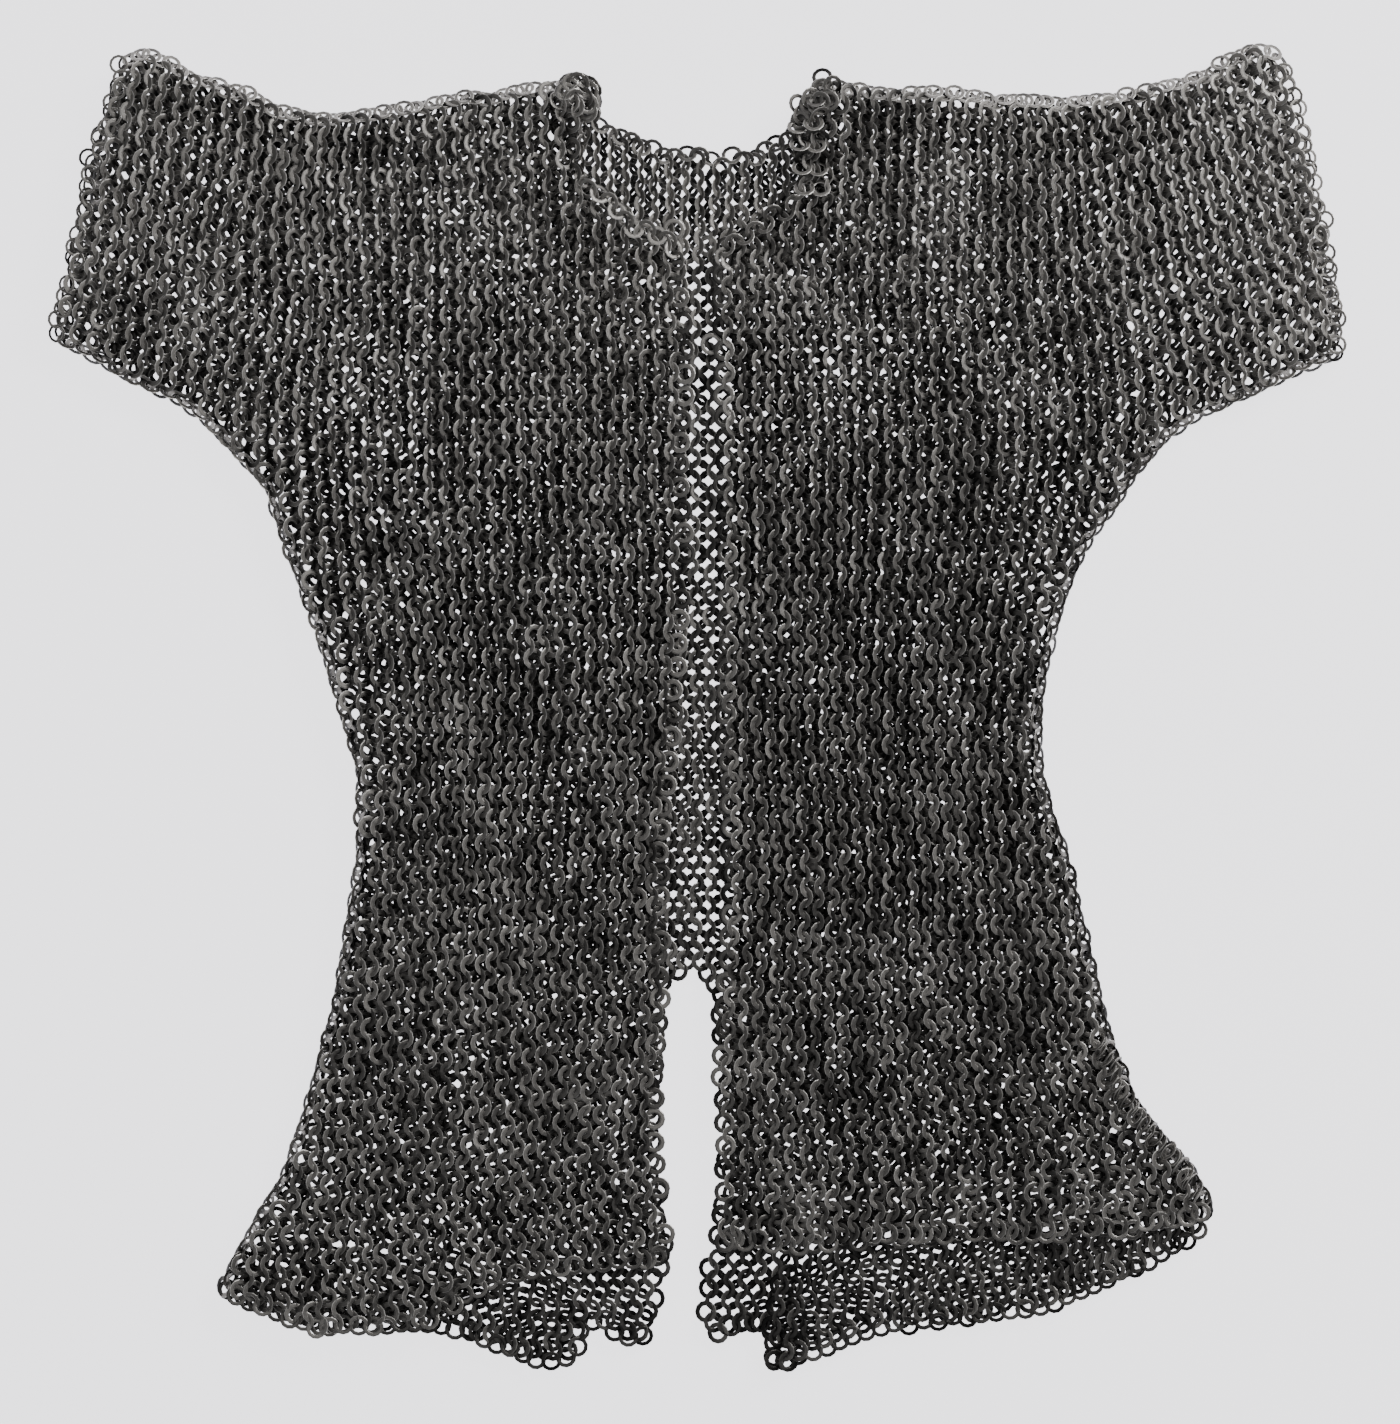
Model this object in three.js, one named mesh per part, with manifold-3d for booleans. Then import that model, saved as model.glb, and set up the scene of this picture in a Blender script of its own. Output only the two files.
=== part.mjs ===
// A short-sleeved mail shirt, open down the front, laid flat on its back.
// Units are millimetres. +X is to the wearer's left, +Y to the neck and +Z up to the viewer.
// Each panel is a wall as thick as the mail itself: two layers of it lie on each other.

import * as THREE from 'three';
import { mergeVertices } from 'three/addons/utils/BufferGeometryUtils.js';
import Module from 'manifold-3d';

// Driving dimensions of the mail
const ringOutside = 13.6;
const wireThickness = 1.2;
const ringLean = THREE.MathUtils.degToRad(25);
const seamGap = 0.3;

// Sizes that follow from them
const wall = ringOutside * Math.sin(ringLean) + wireThickness;
const upperLayer = wall + seamGap;
const bodyHeight = upperLayer + wall;
const foldRadius = 0.8 * wall;
const cutterHeight = 4 * bodyHeight;

// How finely the panels are divided
const stepsPerSection = 2;
const frontColumns = 12;
const backColumns = 18;
const sleeveColumns = 9;
const foldSteps = 3;

// Sections of each front that end on the neckline
const necklineSections = 4;

// A table of outline points, with the columns across and along
function outline(...rows) {
  return rows.map(([across, along]) => new THREE.Vector3(across, along, 0));
}

// The armhole is one straight seam. Each chest section starts at one of these shares of its length.
const armholeShares = [0.2, 0.42, 0.6, 0.73, 0.85, 0.95, 1];

// The first section of each front lies below the hem and is trimmed off with it.
// Sides run up to the armpit, edges up the opening and round the neckline to the shoulder.
const rightFront = {
  side: outline(
    [-304, -430], [-300, -366], [-284, -331], [-257, -283], [-241, -232], [-227, -182], [-218, -130],
    [-212, -78], [-213, -40], [-226, 5], [-241, 52], [-257, 95], [-270, 134],
  ),
  edge: outline(
    [-18, -430], [-17, -350], [-18, -320], [-23, -281], [-22, -232], [-18, -182], [-21, -130],
    [-19, -78], [-13, -35], [-9, 8], [-7, 55], [-6, 100], [-5, 145], [-5, 195], [-6, 245], [-9, 289],
    [-41, 307], [-70, 333], [-61, 365], [-58, 388],
  ),
  shoulder: outline(
    [-255, 371], [-228, 368], [-191, 372], [-153, 379], [-116, 383], [-79, 390], [-58, 388],
  ),
  hem: outline(
    [-320, -356], [-300, -366], [-267, -379], [-235, -391], [-200, -389], [-165, -387], [-143, -369],
    [-122, -359], [-78, -352], [0, -346],
  ),
};
const leftFront = {
  side: outline(
    [330, -430], [324, -320], [312, -291], [285, -261], [265, -222], [251, -178], [240, -130],
    [226, -75], [215, -40], [216, 5], [226, 52], [243, 97], [270, 137],
  ),
  edge: outline(
    [6, -430], [8, -334], [11, -308], [13, -275], [11, -228], [13, -182], [16, -130],
    [17, -78], [16, -35], [14, 8], [16, 52], [14, 100], [13, 145], [12, 195], [11, 245], [11, 291],
    [38, 300], [64, 330], [58, 362], [69, 388],
  ),
  shoulder: outline(
    [69, 388], [88, 388], [107, 384], [163, 383], [182, 379], [219, 377], [254, 379],
  ),
  hem: outline(
    [-10, -331], [60, -341], [117, -334], [202, -332], [273, -328], [340, -314],
  ),
};

// Openings of the back: the neck, the riding slit and the worn hem
const neck = outline(
  [-58, 420], [-58, 388], [-57, 366], [-47, 359], [-29, 351], [-13, 346], [14, 344], [33, 346],
  [51, 354], [62, 368], [69, 388], [69, 420],
);
const slit = outline(
  [-5, -164], [5, -176], [9, -205], [12, -250], [13, -295], [8, -320], [1, -356], [-2, -382], [-2, -440],
  [-24, -440], [-24, -388], [-20, -362], [-15, -337], [-18, -319], [-23, -285], [-22, -215], [-16, -178],
);
const backHem = outline(
  [-320, -356], [-300, -366], [-267, -377], [-235, -389], [-200, -387], [-159, -389], [-120, -404],
  [-100, -411], [-74, -410], [-66, -391], [-61, -381], [-55, -393], [-35, -399], [-24, -396], [-2, -387],
  [7, -396], [36, -386], [41, -408], [46, -413], [60, -411], [83, -402], [117, -391], [166, -384],
  [216, -378], [261, -360], [297, -341], [324, -320], [340, -308],
);
const trimDepth = -440;

// Sections of the sleeves, from the armhole to the cuff. Each runs from the shoulder fold to the
// underarm fold; bow curves it towards the cuff, crest lifts its upper layer and mouth parts the two.
const sleeveNames = ['topAcross', 'topAlong', 'underAcross', 'underAlong', 'bow', 'crest', 'mouth'];
const rightSleeve = table(sleeveNames, [
  [-255, 371, -270, 134, 0, 0, 0.3],
  [-275, 381, -293, 161, 1, 2, 0.3],
  [-296, 388, -318, 183, 2, 4, 0.5],
  [-318, 397, -345, 196, 3, 5, 1],
  [-339, 409, -373, 211, 3, 4, 1.5],
  [-359, 402, -401, 226, 3, 2, 2],
]);
const leftSleeve = table(sleeveNames, [
  [254, 379, 270, 137, 0, 0, 0.3],
  [276, 385, 292, 164, 1, 2, 0.3],
  [298, 389, 318, 179, 2, 4, 0.5],
  [321, 399, 345, 191, 3, 5, 1],
  [348, 412, 374, 205, 4, 4, 1.5],
  [367, 398, 402, 214, 4, 2, 2],
]);

// Folds of the fronts. Each is a ridge between two points that fades out over its reach.
// hollow is the share of the height that also lifts the underside.
const foldNames = ['fromX', 'fromY', 'toX', 'toY', 'reach', 'height', 'hollow'];
const rightFolds = table(foldNames, [
  [-88, 382, -66, 352, 26, 8, 0],
  [-64, 330, -24, 300, 18, 4, 0],
  [-160, 250, -140, 40, 80, 4, 1],
  [-95, 180, -70, -120, 45, 4, 1],
  [-130, -150, -165, -330, 55, 5, 1],
  [-60, -200, -48, -330, 32, 4, 1],
]);
const leftFolds = table(foldNames, [
  [90, 382, 66, 348, 28, 9, 0],
  [16, 292, 60, 318, 18, 4, 0],
  [165, 250, 145, 40, 80, 4, 1],
  [60, 160, 62, -120, 40, 4, 1],
  [105, -120, 125, -310, 50, 4, 1],
  [188, -130, 215, -300, 45, 5, 1],
  [262, -228, 316, -305, 26, 6, 0],
]);

// Pleats where the back's hem folds over itself, each a wedge with its steep edge at edgeX
const pleatNames = ['edgeX', 'width', 'top', 'foot', 'height'];
const pleats = table(pleatNames, [
  [39, 58, -346, -430, 5.5],
  [-57, 33, -357, -430, 4.5],
]);
const pleatRoot = 1;

const wasm = await Module();
wasm.setup();

function table(names, rows) {
  return rows.map((row) => Object.fromEntries(names.map((name, column) => [name, row[column]])));
}

// A smooth line through the points, with a fixed number of steps from each to the next
function smoothLine(points) {
  const curve = new THREE.CatmullRomCurve3(points, false, 'centripetal');
  return curve.getPoints(stepsPerSection * (points.length - 1));
}

// The side of a front: smooth up to the armpit, then straight up the armhole
function sideLine(front) {
  const armpit = front.side.at(-1);
  const shoulderEnd = front === rightFront ? front.shoulder[0] : front.shoulder.at(-1);
  const armhole = armholeShares.map((share) => armpit.clone().lerp(shoulderEnd, share));
  return [...smoothLine(front.side), ...smoothLine([armpit, ...armhole]).slice(1)];
}

// The edge of a front: up the opening, a corner at the neck, then round the neckline
function edgeLine(front) {
  const neckBase = front.edge.length - 1 - necklineSections;
  const opening = smoothLine(front.edge.slice(0, neckBase + 1));
  const neckline = smoothLine(front.edge.slice(neckBase));
  return [...opening, ...neckline.slice(1)];
}

// The height of a line of points at a place across it
function alongAt(points, across) {
  const next = points.findIndex((point) => point.x >= across);
  if (next <= 0) {
    return points.at(next).y;
  }
  const from = points[next - 1];
  const to = points[next];
  return THREE.MathUtils.mapLinear(across, from.x, to.x, from.y, to.y);
}

// Distances from a folded edge at which its quarter round is divided
const foldDistances = Array.from({ length: foldSteps + 1 }, (unused, step) => {
  const turn = (step / foldSteps) * (Math.PI / 2);
  return foldRadius * (1 - Math.cos(turn));
});

// How far the quarter round of a folded edge lies below the flat, at a distance from that edge
function foldDrop(distance) {
  const inside = Math.max(foldRadius - distance, 0);
  return foldRadius - Math.sqrt(foldRadius ** 2 - inside ** 2);
}

// Distances along a section, closer together at an end that is folded
function sectionDistances(width, columns, foldedStart, foldedEnd) {
  const start = foldedStart ? foldDistances : [0];
  const end = foldedEnd ? foldDistances : [0];
  const flat = width - start.at(-1) - end.at(-1);
  const middle = Array.from({ length: columns - 1 }, (unused, column) => {
    return start.at(-1) + (flat * (column + 1)) / columns;
  });
  return [...start, ...middle, ...end.map((distance) => width - distance).reverse()];
}

// The grid of a panel: sections between two lines, then the sections of the rounded shoulder.
// Each point also holds its distance from the folded sides and from the shoulder.
function panelGrid(lowLine, highLine, top, columns, foldedLow, foldedHigh) {
  const armpitRow = stepsPerSection * (rightFront.side.length - 1);
  const rowAt = (from, to, row) => {
    const width = from.distanceTo(to);
    return sectionDistances(width, columns, foldedLow, foldedHigh).map((distance) => {
      const point = from.clone().lerp(to, distance / width);
      const lowFold = foldedLow ? distance : Infinity;
      const highFold = foldedHigh ? width - distance : Infinity;
      const sideDistance = row <= armpitRow ? Math.min(lowFold, highFold) : Infinity;
      return { x: point.x, y: point.y, sideDistance, topDistance: Infinity };
    });
  };
  const rows = lowLine.slice(0, -1).map((from, row) => rowAt(from, highLine[row], row));
  const topRow = rowAt(lowLine.at(-1), highLine.at(-1), rows.length);
  const rounded = [...foldDistances].reverse().map((distance) => {
    return topRow.map((point) => {
      const y = alongAt(top, point.x) - distance;
      return { ...point, y, topDistance: distance };
    });
  });
  return [...rows, ...rounded];
}

function edgeDrop(point) {
  return Math.min(foldDrop(point.sideDistance) + foldDrop(point.topDistance), foldRadius);
}

// How far the folds lift a point, from its distance to each fold's ridge and each fold's height
function foldLift(folds, point, heightOf) {
  const place = new THREE.Vector3(point.x, point.y, 0);
  const nearest = new THREE.Vector3();
  return folds.reduce((lift, fold) => {
    const from = new THREE.Vector3(fold.fromX, fold.fromY, 0);
    const to = new THREE.Vector3(fold.toX, fold.toY, 0);
    new THREE.Line3(from, to).closestPointToPoint(place, true, nearest);
    const share = Math.min(nearest.distanceTo(place) / fold.reach, 1);
    return lift + (heightOf(fold) * (1 + Math.cos(Math.PI * share))) / 2;
  }, 0);
}

// Two triangles between four corners, listed anticlockwise as seen from outside
function quad(index, a, b, c, d) {
  index.push(a, b, c, a, c, d);
}

function geometryFrom(positions, index) {
  const geometry = new THREE.BufferGeometry();
  geometry.setAttribute('position', new THREE.Float32BufferAttribute(positions, 3));
  geometry.setIndex(index);
  return geometry;
}

// A closed wall over a grid of points, with an upper face, an underside and four edges
function wallOver(grid, upperOf, undersideOf) {
  const rows = grid.length;
  const columns = grid[0].length;
  const upper = grid.flat().flatMap((point) => [point.x, point.y, upperOf(point)]);
  const under = grid.flat().flatMap((point) => [point.x, point.y, undersideOf(point)]);
  const index = [];
  const top = (row, column) => row * columns + column;
  const bottom = (row, column) => rows * columns + top(row, column);
  for (let row = 1; row < rows; row += 1) {
    for (let column = 1; column < columns; column += 1) {
      quad(index, top(row - 1, column - 1), top(row - 1, column), top(row, column), top(row, column - 1));
      quad(
        index,
        bottom(row - 1, column - 1), bottom(row, column - 1), bottom(row, column), bottom(row - 1, column),
      );
    }
    quad(index, bottom(row - 1, 0), top(row - 1, 0), top(row, 0), bottom(row, 0));
    const last = columns - 1;
    quad(index, top(row - 1, last), bottom(row - 1, last), bottom(row, last), top(row, last));
  }
  for (let column = 1; column < columns; column += 1) {
    quad(index, bottom(0, column - 1), bottom(0, column), top(0, column), top(0, column - 1));
    const last = rows - 1;
    quad(index, top(last, column - 1), top(last, column), bottom(last, column), bottom(last, column - 1));
  }
  return geometryFrom([...upper, ...under], index);
}

function solidOf(geometry) {
  geometry.deleteAttribute('normal');
  geometry.deleteAttribute('uv');
  const merged = mergeVertices(geometry);
  return new wasm.Manifold(new wasm.Mesh({
    numProp: 3,
    vertProperties: new Float32Array(merged.attributes.position.array),
    triVerts: new Uint32Array(merged.index.array),
  }));
}

function geometryOf(solid) {
  const { vertProperties, triVerts } = solid.getMesh();
  return geometryFrom(vertProperties, Array.from(triVerts));
}

// A prism that takes away everything inside an outline, through both layers
function cutter(points) {
  const shape = new THREE.Shape(points.map((point) => new THREE.Vector2(point.x, point.y)));
  const geometry = new THREE.ExtrudeGeometry(shape, { depth: cutterHeight, bevelEnabled: false });
  geometry.translate(0, 0, -bodyHeight);
  return solidOf(geometry);
}

function belowHem(hem) {
  const corners = outline([hem.at(-1).x, trimDepth], [hem[0].x, trimDepth]);
  return cutter([...hem, ...corners]);
}

// A pleat: a rounded edge that slopes away to nothing, along the hem's fall
function pleatSolid(pleat) {
  const nose = pleat.height / 2;
  const shape = new THREE.Shape();
  shape.moveTo(0, -pleatRoot);
  shape.lineTo(0, pleat.height - nose);
  shape.absarc(nose, pleat.height - nose, nose, Math.PI, Math.PI / 2, true);
  shape.lineTo(pleat.width, 0);
  shape.lineTo(pleat.width, -pleatRoot);
  const depth = pleat.top - pleat.foot;
  const options = { depth, bevelEnabled: false, curveSegments: foldSteps };
  const geometry = new THREE.ExtrudeGeometry(shape, options);
  geometry.rotateX(Math.PI / 2);
  geometry.translate(pleat.edgeX, pleat.top, wall);
  return solidOf(geometry);
}

function frontGeometry(front, folds, isRight) {
  const side = sideLine(front);
  const edge = edgeLine(front);
  const lines = isRight ? [side, edge] : [edge, side];
  const grid = panelGrid(...lines, smoothLine(front.shoulder), frontColumns, isRight, !isRight);
  const upperOf = (point) => {
    return bodyHeight - edgeDrop(point) + foldLift(folds, point, (fold) => fold.height);
  };
  const undersideOf = (point) => {
    return upperLayer + foldLift(folds, point, (fold) => fold.height * fold.hollow);
  };
  return geometryOf(solidOf(wallOver(grid, upperOf, undersideOf)).subtract(belowHem(front.hem)));
}

function backGeometry() {
  const top = [...smoothLine(rightFront.shoulder), ...smoothLine(leftFront.shoulder)];
  const grid = panelGrid(sideLine(rightFront), sideLine(leftFront), top, backColumns, true, true);
  const sheet = solidOf(wallOver(grid, () => wall, edgeDrop));
  const pleated = pleats.reduce((solid, pleat) => solid.add(pleatSolid(pleat)), sheet);
  const trimmed = [cutter(neck), cutter(slit), belowHem(backHem)];
  return geometryOf(trimmed.reduce((solid, cut) => solid.subtract(cut), pleated));
}

// Angles at which a half round fold of a sleeve is divided
const sleeveTurns = Array.from({ length: foldSteps }, (unused, step) => {
  return ((step + 1) / (foldSteps + 1)) * Math.PI;
});

// A loop round a flattened sleeve: along the upper layer, round the underarm fold, back
// underneath and round the shoulder fold. Inset by the wall, it is the loop of the inside.
function sleeveLoop(section, inset, upper, lower) {
  const from = new THREE.Vector3(section.topAcross, section.topAlong, 0);
  const to = new THREE.Vector3(section.underAcross, section.underAlong, 0);
  const width = from.distanceTo(to);
  const outward = Math.sign(section.topAcross);
  const radius = (upper - lower) / 2;
  const start = inset + radius;
  const flat = width - 2 * start;
  const place = (distance, height) => {
    const share = distance / width;
    const point = from.clone().lerp(to, share);
    const arch = Math.sin(Math.PI * share);
    point.x += outward * section.bow * arch;
    return [point.x, point.y, height];
  };
  const crestAt = (distance) => section.crest * Math.sin((Math.PI * distance) / width) ** 2;
  const loop = [];
  for (let column = 0; column <= sleeveColumns; column += 1) {
    const distance = start + (flat * column) / sleeveColumns;
    loop.push(place(distance, upper + crestAt(distance)));
  }
  for (const turn of sleeveTurns) {
    loop.push(place(width - start + radius * Math.sin(turn), lower + radius + radius * Math.cos(turn)));
  }
  for (let column = sleeveColumns; column >= 0; column -= 1) {
    loop.push(place(start + (flat * column) / sleeveColumns, lower));
  }
  for (const turn of sleeveTurns) {
    loop.push(place(start - radius * Math.sin(turn), lower + radius - radius * Math.cos(turn)));
  }
  return loop;
}

// Sections between those of the table, on a smooth line through each of its columns
function sleeveSections(sections) {
  const lineOf = (x, y, z) => smoothLine(sections.map((row) => new THREE.Vector3(row[x], row[y], row[z])));
  const tops = lineOf('topAcross', 'topAlong', 'bow');
  const unders = lineOf('underAcross', 'underAlong', 'crest');
  const mouths = lineOf('topAcross', 'topAlong', 'mouth');
  return tops.map((top, step) => ({
    topAcross: top.x,
    topAlong: top.y,
    bow: top.z,
    underAcross: unders[step].x,
    underAlong: unders[step].y,
    crest: unders[step].z,
    mouth: mouths[step].z,
  }));
}

// A sleeve: a flattened tube with a wall all round, open at the armhole and at the cuff
function sleeveGeometry(sections) {
  const outward = Math.sign(sections[0].topAcross);
  const rings = sleeveSections(sections).map((section) => {
    const outer = sleeveLoop(section, 0, bodyHeight + section.mouth - seamGap, 0);
    const inner = sleeveLoop(section, wall, wall + section.mouth, wall);
    return [...outer, ...inner];
  });
  const size = rings[0].length / 2;
  const index = [];
  const turned = outward < 0 ? quad : (list, a, b, c, d) => quad(list, d, c, b, a);
  for (let ring = 1; ring < rings.length; ring += 1) {
    for (let step = 0; step < size; step += 1) {
      const next = (step + 1) % size;
      const near = (ring - 1) * 2 * size;
      const far = ring * 2 * size;
      turned(index, near + step, far + step, far + next, near + next);
      turned(index, near + size + step, near + size + next, far + size + next, far + size + step);
    }
  }
  for (let step = 0; step < size; step += 1) {
    const next = (step + 1) % size;
    const cuff = (rings.length - 1) * 2 * size;
    turned(index, step, next, size + next, size + step);
    turned(index, cuff + step, cuff + size + step, cuff + size + next, cuff + next);
  }
  const geometry = geometryFrom(rings.flat(2), index);
  geometry.translate(outward * seamGap, 0, 0);
  return geometry;
}

const mailMaterial = () => new THREE.MeshStandardMaterial({
  color: 0x403f3d,
  roughness: 0.55,
  metalness: 0.9,
});

function panel(name, geometry) {
  const mesh = new THREE.Mesh(geometry, mailMaterial());
  mesh.name = name;
  return mesh;
}

const group = new THREE.Group();
group.add(
  panel('back_panel', backGeometry()),
  panel('front_right', frontGeometry(rightFront, rightFolds, true)),
  panel('front_left', frontGeometry(leftFront, leftFolds, false)),
  panel('sleeve_right', sleeveGeometry(rightSleeve)),
  panel('sleeve_left', sleeveGeometry(leftSleeve)),
);

// The origin is under the middle of the whole shirt
const bounds = new THREE.Box3().setFromObject(group);
const middle = bounds.getCenter(new THREE.Vector3());
group.children.forEach((mesh) => mesh.position.set(-middle.x, -middle.y, -bounds.min.z));

export default group;
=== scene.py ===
import math

import bmesh
import bpy
import numpy as np
from mathutils import Matrix, Vector
from mathutils.bvhtree import BVHTree
from mathutils.kdtree import KDTree


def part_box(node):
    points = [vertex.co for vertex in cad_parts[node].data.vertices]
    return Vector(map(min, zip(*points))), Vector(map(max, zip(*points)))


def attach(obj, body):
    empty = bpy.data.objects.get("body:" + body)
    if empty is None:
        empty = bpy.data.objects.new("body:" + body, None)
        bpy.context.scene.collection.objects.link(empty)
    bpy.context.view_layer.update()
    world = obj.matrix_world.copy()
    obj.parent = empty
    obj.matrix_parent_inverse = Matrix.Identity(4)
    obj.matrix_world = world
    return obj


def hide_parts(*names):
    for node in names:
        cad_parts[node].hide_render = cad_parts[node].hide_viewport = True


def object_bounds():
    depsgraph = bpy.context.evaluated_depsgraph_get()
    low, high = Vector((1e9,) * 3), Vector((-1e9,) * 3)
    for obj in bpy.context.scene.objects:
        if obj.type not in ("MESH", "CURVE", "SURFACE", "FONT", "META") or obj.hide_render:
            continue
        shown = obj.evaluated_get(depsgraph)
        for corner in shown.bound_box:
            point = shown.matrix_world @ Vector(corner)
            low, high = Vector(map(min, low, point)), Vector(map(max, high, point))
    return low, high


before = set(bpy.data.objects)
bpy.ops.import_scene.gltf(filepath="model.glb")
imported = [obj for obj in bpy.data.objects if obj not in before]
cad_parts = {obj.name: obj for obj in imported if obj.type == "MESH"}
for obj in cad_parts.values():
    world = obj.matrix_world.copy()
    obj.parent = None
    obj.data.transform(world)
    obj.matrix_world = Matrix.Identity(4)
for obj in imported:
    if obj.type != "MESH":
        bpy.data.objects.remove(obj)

# A short-sleeved mail shirt, laid flat. Its cloth is woven here ring by ring over the frame's
# panels, in rows that lean by turns to either side, so that most rings pass through four others.

CAD_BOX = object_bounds()

# Real sizes of the mail, in metres
MM = 0.001
RING_OUTSIDE = 13.6 * MM
RING_THICKNESS = 1.2 * MM
# How far the rings lean, on the fronts' chest and skirt and on the back
FRONT_LEAN = math.radians(33)
SKIRT_LEAN = math.radians(25)
BACK_LEAN = math.radians(20)
# A layer of mail is as thick as a leaning ring is high
WALL = RING_OUTSIDE * math.sin(SKIRT_LEAN) + RING_THICKNESS
# The pitches of the columns and the rows, before the shape of the body stretches them
UPPER_PITCH = (9.1 * MM, 7.0 * MM)
LOWER_PITCH = (9.2 * MM, 6.6 * MM)
# Beyond this distance from the middle, the back lies under the fronts, and its columns stand
# closer by this share
CROWDED_FROM = 0.02
CROWDING = 0.07

# How unevenly the rings lie: the spread of their places, in sight and under the fronts, and of
# their heights, leans and tips, and how far the columns sway on the fronts and on the back
PLACE_SPREAD = 0.5 * MM
COVERED_SPREAD = 0.9 * MM
HEIGHT_SPREAD = 0.25 * MM
LEAN_SPREAD = math.radians(4.5)
TIP_SPREAD = math.radians(3.5)
FRONT_SWAY = 1.9 * MM
BACK_SWAY = 1.5 * MM

# The steps that a ring is divided into, few because there are thousands
RING_STEPS = 12

# The photograph: its height in pixels, a pixel's size on the shirt, and the middle of the view
PHOTO_HIGH = 1424
PIXEL = 0.62 * MM
VIEW_MIDDLE = (1.05 * MM, -3.5 * MM)
CAMERA_HEIGHT = 3.0

# The grid on which the panels' outlines are read
CELL = 2.5 * MM
MARGIN = 10
LOW, HIGH = (Vector(corner) for corner in CAD_BOX)
GRID_X = np.arange(LOW.x - MARGIN * CELL, HIGH.x + MARGIN * CELL, CELL)
GRID_Y = np.arange(LOW.y - MARGIN * CELL, HIGH.y + MARGIN * CELL, CELL)

# Where the neck's two corners are bunched up, with how many rings and how widely, where the left
# front's neck is folded under, and where its hip is rolled over
RIGHT_BUNCH, RIGHT_BUNCH_RINGS = (-0.077, 0.377), 22
LEFT_BUNCH, LEFT_BUNCH_RINGS = (0.073, 0.378), 18
BUNCH_REACH = 9 * MM
NECK_FOLD = ((0.066, 0.358), (0.071, 0.312))
HIP_X, HIP_Y = 0.250, -0.215

# Two rings that have come loose at the neck
LOOSE_RINGS = ((-0.0151, 0.2947), (0.0079, 0.2240))

# Places on the shirt where the weave changes its run
ARMPIT_Y = 0.135
ARMHOLE_X = 0.262
SHOULDER_Y = 0.372
NECK_X = 0.064
HEM_Y = -0.31
CUFF_X = 0.33
# Where the opening ends in the neckline, and the strip that holds the opening's two edges
NECKLINE_FOOT_Y = 0.285
OPENING_X, OPENING_TOP_Y = 0.036, 0.27
# The back's neck, where its rows are pushed together by a share
BACK_NECK_X, BACK_NECK_Y = 0.09, 0.275
BACK_NECK_PUSH = 0.2
# The levels that part the back into skirt, waist and chest
WAIST_Y, CHEST_Y = -0.16, 0.12
# The width from the opening to the side at which the columns keep their own pitch
BODY_WIDTH = 0.247
# The levels of the lowest and the highest row, and how far out the columns go: past the outline,
# where no rings are laid
ROW_LEVELS = (-0.48, 0.47)
FRONT_REACH = 0.46
BACK_REACH = (-0.5, 0.5)
# How far the columns on the sleeves turn from those on the body, and about which level
SLEEVE_TURN = 0.19
SLEEVE_TURN_Y = 0.29
# Where their rows start to rise toward the cuff, how gradually, and how steeply
SLEEVE_RISE_X, SLEEVE_RISE_SOFTLY = 0.235, 0.025
SLEEVE_RISE = 0.40
# The share of the cloth's slope that a ring on it takes
SLOPE_SHARE = 0.4
# The back's foot is folded into pleats where it is higher than this, below this level. The middle
# row of its second ply, and how far its columns turn
PLEAT_HEIGHT = WALL + 3 * MM
PLEAT_TOP_Y = -0.335
PLEAT_MIDDLE_Y = -0.38
PLEAT_TURN = 0.16

# The lines that the rows follow toward each hem, from the wearer's right to the left
RIGHT_HEM = ((-0.30, -0.388), (-0.23, -0.390), (-0.04, -0.347), (0.0, -0.345))
LEFT_HEM = ((0.0, -0.334), (0.06, -0.338), (0.25, -0.328), (0.32, -0.316))
BACK_HEM = ((-0.30, -0.370), (-0.09, -0.410), (0.05, -0.410), (0.32, -0.310))

rng = np.random.default_rng(1350)


def smooth_step(value, start, end):
    """0 up to the start, 1 from the end on, and a soft rise in between."""
    share = np.clip((np.asarray(value) - start) / (end - start), 0, 1)
    return share * share * (3 - 2 * share)


# Camera


def add_camera():
    camera = bpy.data.cameras.new("camera")
    camera.lens = camera.sensor_width * CAMERA_HEIGHT / (PHOTO_HIGH * PIXEL)
    camera.clip_end = 10
    holder = bpy.data.objects.new("camera", camera)
    holder.location = (*VIEW_MIDDLE, CAMERA_HEIGHT)
    bpy.context.scene.collection.objects.link(holder)
    bpy.context.scene.camera = holder


add_camera()


# Outlines and heights, read from the frame's panels


class Panel:
    """A panel's outline on the grid, and the tree that finds heights on its upper face."""

    def __init__(self, name):
        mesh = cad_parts[name].data
        points = [vertex.co.copy() for vertex in mesh.vertices]
        self.tree = BVHTree.FromPolygons(points, [tuple(face.vertices) for face in mesh.polygons])
        self.low, self.high = (Vector(corner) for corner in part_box(name))
        self.inside = np.zeros((len(GRID_Y), len(GRID_X)), bool)
        self.height = np.zeros((len(GRID_Y), len(GRID_X)))
        for row in self.span(GRID_Y, self.low.y, self.high.y):
            for column in self.span(GRID_X, self.low.x, self.high.x):
                hit = self.surface(GRID_X[column], GRID_Y[row])
                if hit:
                    self.inside[row, column] = True
                    self.height[row, column] = hit[0]

    @staticmethod
    def span(values, low, high):
        return range(np.searchsorted(values, low), np.searchsorted(values, high))

    def surface(self, x, y):
        """The height and normal of the upper face at a place, or None beside the panel."""
        point, normal, _, _ = self.tree.ray_cast(Vector((x, y, 1)), Vector((0, 0, -1)))
        return None if point is None else (point.z, normal)


panels = {name: Panel(name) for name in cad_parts}


def topmost(x, y, names):
    """The height, normal and name of the highest of some panels at a place, or None."""
    found = [(panels[name].surface(x, y), name) for name in names]
    found = [(*hit, name) for hit, name in found if hit]
    return max(found, key=lambda item: item[0]) if found else None


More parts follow.
